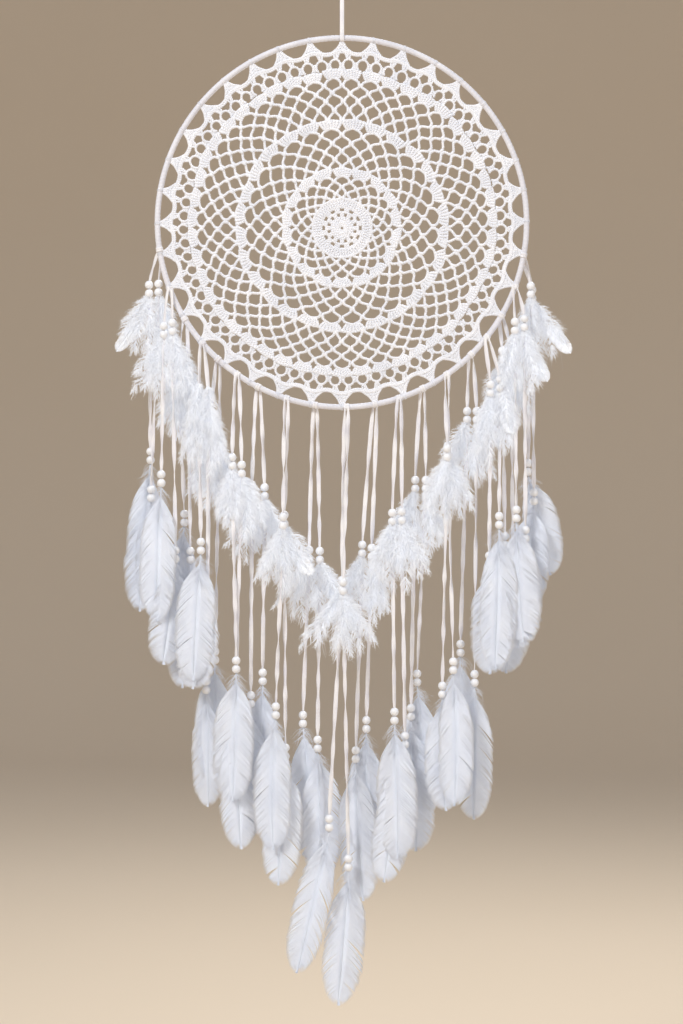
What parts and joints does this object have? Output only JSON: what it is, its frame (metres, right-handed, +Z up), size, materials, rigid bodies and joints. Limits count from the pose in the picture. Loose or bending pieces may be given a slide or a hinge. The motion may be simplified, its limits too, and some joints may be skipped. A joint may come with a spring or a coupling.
{
  "type": "dream catcher",
  "caption": "Hanging dream catcher: a lace-wrapped round hoop with a crocheted web and a V of laces with wooden beads, fluffy feathers and long feathers.",
  "frame": {"origin": "top of the inside of the hanging eye, where it rests on its hook or nail", "axes": "+Z up; the hoop lies in the XZ plane and its front faces -Y; +X is the viewer's right"},
  "size_m": [0.4045, 0.0388, 1.01],
  "materials": {
    "wrap_lace": "matte flat suede lace wound over a steel ring",
    "crochet_cotton": "mercerised cotton crochet",
    "hanging_lace": "matte flat suede lace",
    "tassel_lace": "matte flat suede lace",
    "wood_beads": "white painted wood, satin",
    "feathers": "white goose and marabou feather, soft and matte"
  },
  "bodies": {
    "hanger": {"hanging_loop": "hanging_lace"},
    "hoop_body": {"hoop": "wrap_lace", "web": "crochet_cotton"},
    "tassel_01": {"tassel_01_laces": "tassel_lace", "tassel_01_beads": "wood_beads", "tassel_01_feathers": "feathers"},
    "tassel_02": {"tassel_02_laces": "tassel_lace", "tassel_02_beads": "wood_beads", "tassel_02_feathers": "feathers"},
    "tassel_03": {"tassel_03_laces": "tassel_lace", "tassel_03_beads": "wood_beads", "tassel_03_feathers": "feathers"},
    "tassel_04": {"tassel_04_laces": "tassel_lace", "tassel_04_beads": "wood_beads", "tassel_04_feathers": "feathers"},
    "tassel_05": {"tassel_05_laces": "tassel_lace", "tassel_05_beads": "wood_beads", "tassel_05_feathers": "feathers"},
    "tassel_06": {"tassel_06_laces": "tassel_lace", "tassel_06_beads": "wood_beads", "tassel_06_feathers": "feathers"},
    "tassel_07": {"tassel_07_laces": "tassel_lace", "tassel_07_beads": "wood_beads", "tassel_07_feathers": "feathers"},
    "tassel_08": {"tassel_08_laces": "tassel_lace", "tassel_08_beads": "wood_beads", "tassel_08_feathers": "feathers"},
    "tassel_09": {"tassel_09_laces": "tassel_lace", "tassel_09_beads": "wood_beads", "tassel_09_feathers": "feathers"},
    "tassel_10": {"tassel_10_laces": "tassel_lace", "tassel_10_beads": "wood_beads", "tassel_10_feathers": "feathers"},
    "tassel_11": {"tassel_11_laces": "tassel_lace", "tassel_11_beads": "wood_beads", "tassel_11_feathers": "feathers"},
    "tassel_12": {"tassel_12_laces": "tassel_lace", "tassel_12_beads": "wood_beads", "tassel_12_feathers": "feathers"},
    "tassel_13": {"tassel_13_laces": "tassel_lace", "tassel_13_beads": "wood_beads", "tassel_13_feathers": "feathers"},
    "tassel_14": {"tassel_14_laces": "tassel_lace", "tassel_14_beads": "wood_beads", "tassel_14_feathers": "feathers"},
    "tassel_15": {"tassel_15_laces": "tassel_lace", "tassel_15_beads": "wood_beads", "tassel_15_feathers": "feathers"},
    "tassel_16": {"tassel_16_laces": "tassel_lace", "tassel_16_beads": "wood_beads", "tassel_16_feathers": "feathers"},
    "tassel_17": {"tassel_17_laces": "tassel_lace", "tassel_17_beads": "wood_beads", "tassel_17_feathers": "feathers"},
    "tassel_18": {"tassel_18_laces": "tassel_lace", "tassel_18_beads": "wood_beads", "tassel_18_feathers": "feathers"},
    "tassel_19": {"tassel_19_laces": "tassel_lace", "tassel_19_beads": "wood_beads", "tassel_19_feathers": "feathers"}
  },
  "joints": [
    {"name": "hoop_swing", "type": "hinge", "parent": "hanger", "child": "hoop_body", "pos_m": [0, 0, -0.1015], "axis": [1, 0, 0], "range_deg": [-40, 40]},
    {"name": "tassel_01_swing", "type": "hinge", "parent": "hoop_body", "child": "tassel_01", "pos_m": [-0.17159, 0, -0.30064], "axis": [1, 0, 0], "range_deg": [0, 60]},
    {"name": "tassel_02_swing", "type": "hinge", "parent": "hoop_body", "child": "tassel_02", "pos_m": [-0.16187, 0, -0.33746], "axis": [1, 0, 0], "range_deg": [-60, 0]},
    {"name": "tassel_03_swing", "type": "hinge", "parent": "hoop_body", "child": "tassel_03", "pos_m": [-0.14793, 0, -0.36565], "axis": [1, 0, 0], "range_deg": [0, 60]},
    {"name": "tassel_04_swing", "type": "hinge", "parent": "hoop_body", "child": "tassel_04", "pos_m": [-0.13134, 0, -0.38837], "axis": [1, 0, 0], "range_deg": [-60, 0]},
    {"name": "tassel_05_swing", "type": "hinge", "parent": "hoop_body", "child": "tassel_05", "pos_m": [-0.11677, 0, -0.40333], "axis": [1, 0, 0], "range_deg": [0, 60]},
    {"name": "tassel_06_swing", "type": "hinge", "parent": "hoop_body", "child": "tassel_06", "pos_m": [-0.09852, 0, -0.41781], "axis": [1, 0, 0], "range_deg": [-60, 0]},
    {"name": "tassel_07_swing", "type": "hinge", "parent": "hoop_body", "child": "tassel_07", "pos_m": [-0.07904, 0, -0.42945], "axis": [1, 0, 0], "range_deg": [0, 60]},
    {"name": "tassel_08_swing", "type": "hinge", "parent": "hoop_body", "child": "tassel_08", "pos_m": [-0.05217, 0, -0.44047], "axis": [1, 0, 0], "range_deg": [-60, 0]},
    {"name": "tassel_09_swing", "type": "hinge", "parent": "hoop_body", "child": "tassel_09", "pos_m": [-0.02535, 0, -0.44664], "axis": [1, 0, 0], "range_deg": [0, 60]},
    {"name": "tassel_10_swing", "type": "hinge", "parent": "hoop_body", "child": "tassel_10", "pos_m": [0.00424, 0, -0.44845], "axis": [1, 0, 0], "range_deg": [-60, 0]},
    {"name": "tassel_11_swing", "type": "hinge", "parent": "hoop_body", "child": "tassel_11", "pos_m": [0.03102, 0, -0.4457], "axis": [1, 0, 0], "range_deg": [0, 60]},
    {"name": "tassel_12_swing", "type": "hinge", "parent": "hoop_body", "child": "tassel_12", "pos_m": [0.05361, 0, -0.44001], "axis": [1, 0, 0], "range_deg": [-60, 0]},
    {"name": "tassel_13_swing", "type": "hinge", "parent": "hoop_body", "child": "tassel_13", "pos_m": [0.07579, 0, -0.43107], "axis": [1, 0, 0], "range_deg": [0, 60]},
    {"name": "tassel_14_swing", "type": "hinge", "parent": "hoop_body", "child": "tassel_14", "pos_m": [0.09852, 0, -0.41781], "axis": [1, 0, 0], "range_deg": [-60, 0]},
    {"name": "tassel_15_swing", "type": "hinge", "parent": "hoop_body", "child": "tassel_15", "pos_m": [0.12139, 0, -0.39896], "axis": [1, 0, 0], "range_deg": [0, 60]},
    {"name": "tassel_16_swing", "type": "hinge", "parent": "hoop_body", "child": "tassel_16", "pos_m": [0.13597, 0, -0.38277], "axis": [1, 0, 0], "range_deg": [-60, 0]},
    {"name": "tassel_17_swing", "type": "hinge", "parent": "hoop_body", "child": "tassel_17", "pos_m": [0.14995, 0, -0.36227], "axis": [1, 0, 0], "range_deg": [0, 60]},
    {"name": "tassel_18_swing", "type": "hinge", "parent": "hoop_body", "child": "tassel_18", "pos_m": [0.16272, 0, -0.33519], "axis": [1, 0, 0], "range_deg": [-60, 0]},
    {"name": "tassel_19_swing", "type": "hinge", "parent": "hoop_body", "child": "tassel_19", "pos_m": [0.1707, 0, -0.30602], "axis": [1, 0, 0], "range_deg": [0, 60]}
  ]
}
